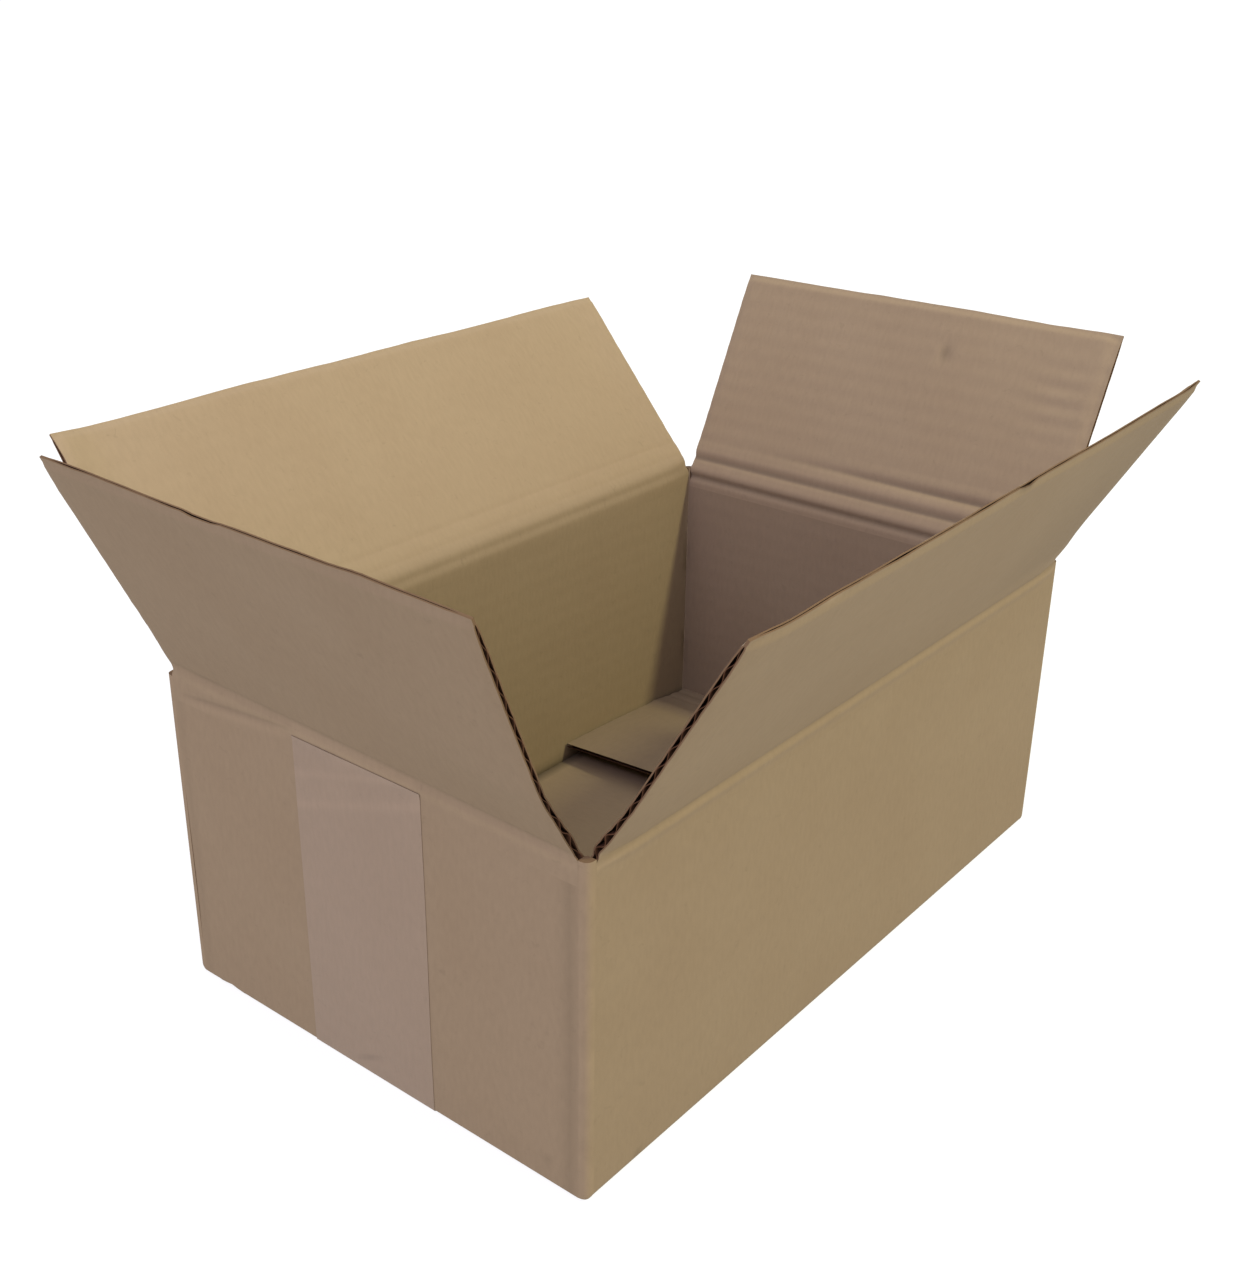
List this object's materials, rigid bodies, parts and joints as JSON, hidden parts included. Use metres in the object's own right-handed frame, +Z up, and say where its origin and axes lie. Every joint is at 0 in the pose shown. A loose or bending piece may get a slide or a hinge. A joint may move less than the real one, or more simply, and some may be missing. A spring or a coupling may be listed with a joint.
{
  "type": "cardboard tray box",
  "caption": "Low open box of brown corrugated board with hinged top flaps leaning outward and a taped floor, to hold and carry small goods.",
  "frame": {"origin": "middle of the underside, on the surface the box rests on", "axes": "+X along the length towards the far end wall, +Y across the width towards the far side wall, +Z up"},
  "size_m": [0.3012, 0.2366, 0.1654],
  "materials": {
    "kraft_board": "matt brown kraft liner",
    "packing_tape": "clear film over kraft, slightly glossy"
  },
  "bodies": {
    "tray": {"tray_body": "kraft_board", "bottom_tape": "packing_tape"},
    "near_side": {"near_side_flap": "kraft_board"},
    "far_side": {"far_side_flap": "kraft_board"},
    "near_end": {"near_end_flap": "kraft_board"},
    "far_end": {"far_end_flap": "kraft_board"}
  },
  "joints": [
    {"name": "near_side_crease", "type": "hinge", "parent": "tray", "child": "near_side", "pos_m": [0, -0.07435, 0.1], "axis": [1, 0, 0], "range_deg": [-121.5, 88.5]},
    {"name": "far_side_crease", "type": "hinge", "parent": "tray", "child": "far_side", "pos_m": [0, 0.07435, 0.1], "axis": [-1, 0, 0], "range_deg": [-130.8, 79.2]},
    {"name": "near_end_crease", "type": "hinge", "parent": "tray", "child": "near_end", "pos_m": [-0.11835, 0, 0.09725], "axis": [0, -1, 0], "range_deg": [-114.3, 95.7]},
    {"name": "far_end_crease", "type": "hinge", "parent": "tray", "child": "far_end", "pos_m": [0.11835, 0, 0.09725], "axis": [0, 1, 0], "range_deg": [-116.5, 93.5]}
  ]
}
